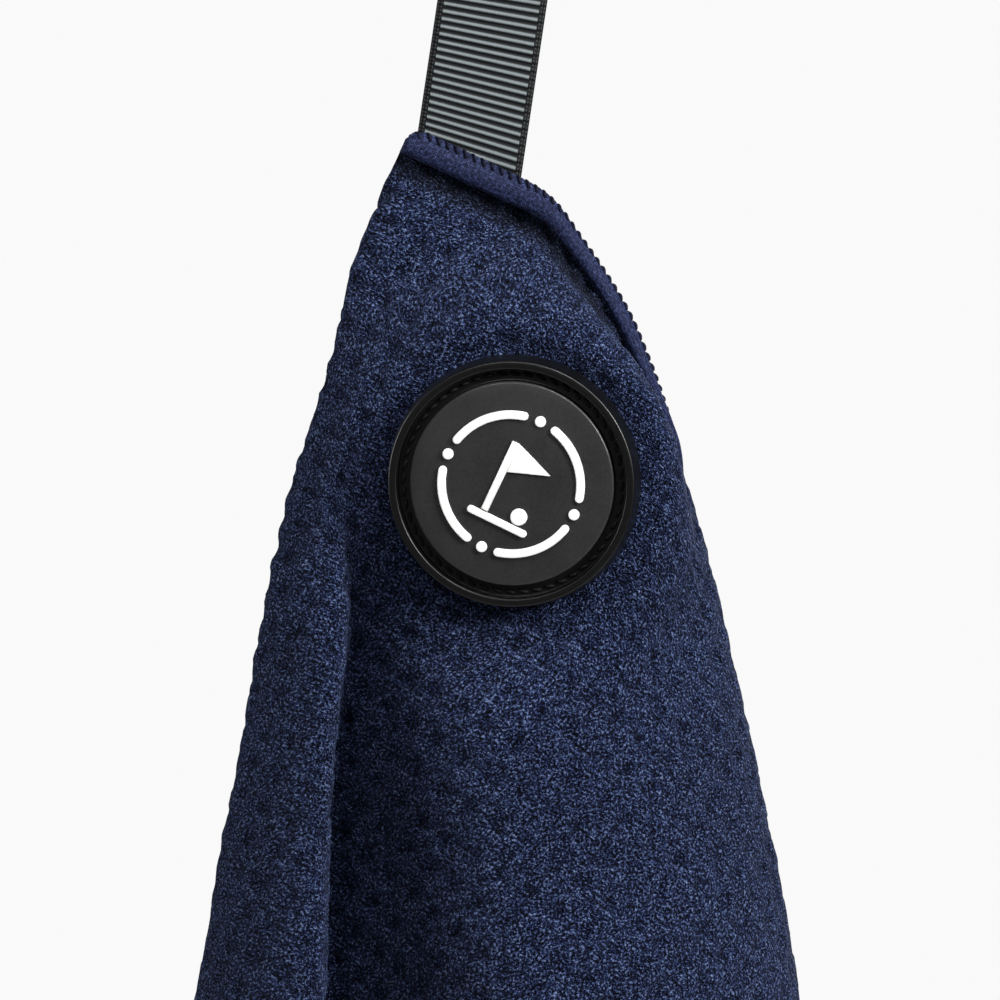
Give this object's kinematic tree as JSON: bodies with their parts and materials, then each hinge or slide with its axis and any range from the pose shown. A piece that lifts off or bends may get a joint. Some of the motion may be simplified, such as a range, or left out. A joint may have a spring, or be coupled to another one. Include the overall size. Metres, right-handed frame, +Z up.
{
  "type": "golf towel",
  "caption": "Square waffle golf towel hung by one corner from a sewn ribbon loop, with hem bands and a round moulded rubber magnet patch.",
  "frame": {"origin": "middle of the bar that the ribbon loop hangs on, on the axis of the loop's half-round bight", "axes": "+Z up, the way the towel hangs; +Y away from the side that shows the patch; +X to the right seen from that side"},
  "size_m": [0.1733, 0.1188, 0.641],
  "materials": {
    "waffle_cloth": "matte",
    "hem_satin": "satin",
    "navy_thread": "satin",
    "grey_thread": "satin",
    "ribbon": "satin",
    "black_rubber": "matte",
    "white_rubber": "matte",
    "black_thread": "matte",
    "magnet_plating": "satin",
    "retainer_plastic": "matte"
  },
  "bodies": {
    "loop": {"ribbon_bight": "ribbon", "ribbon_front_run": "ribbon", "ribbon_back_run": "ribbon"},
    "strap": {"ribbon_front_strap": "ribbon", "ribbon_back_strap": "ribbon"},
    "towel": {"towel_cloth": "waffle_cloth", "top_hem_band": "hem_satin", "bottom_hem_band": "hem_satin", "near_side_hem_band": "hem_satin", "far_side_hem_band": "hem_satin", "overlock_thread": "navy_thread", "seam_thread": "grey_thread", "ribbon_front_tail": "ribbon", "ribbon_back_tail": "ribbon", "patch_base": "black_rubber", "patch_emblem": "white_rubber", "patch_front_stitches": "black_thread", "patch_back_stitches": "black_thread", "magnet": "magnet_plating", "magnet_retainer": "retainer_plastic"}
  },
  "joints": [
    {"name": "ribbon_twist", "type": "hinge", "parent": "loop", "child": "strap", "pos_m": [-0.00565, 0, -0.03778], "axis": [0.1478, 0, 0.989], "range_deg": [-90, 90]},
    {"name": "hem_fold", "type": "hinge", "parent": "strap", "child": "towel", "pos_m": [-0.01067, 0, -0.07141], "axis": [0.9033, 0, -0.4289], "range_deg": [-80, 80]}
  ]
}
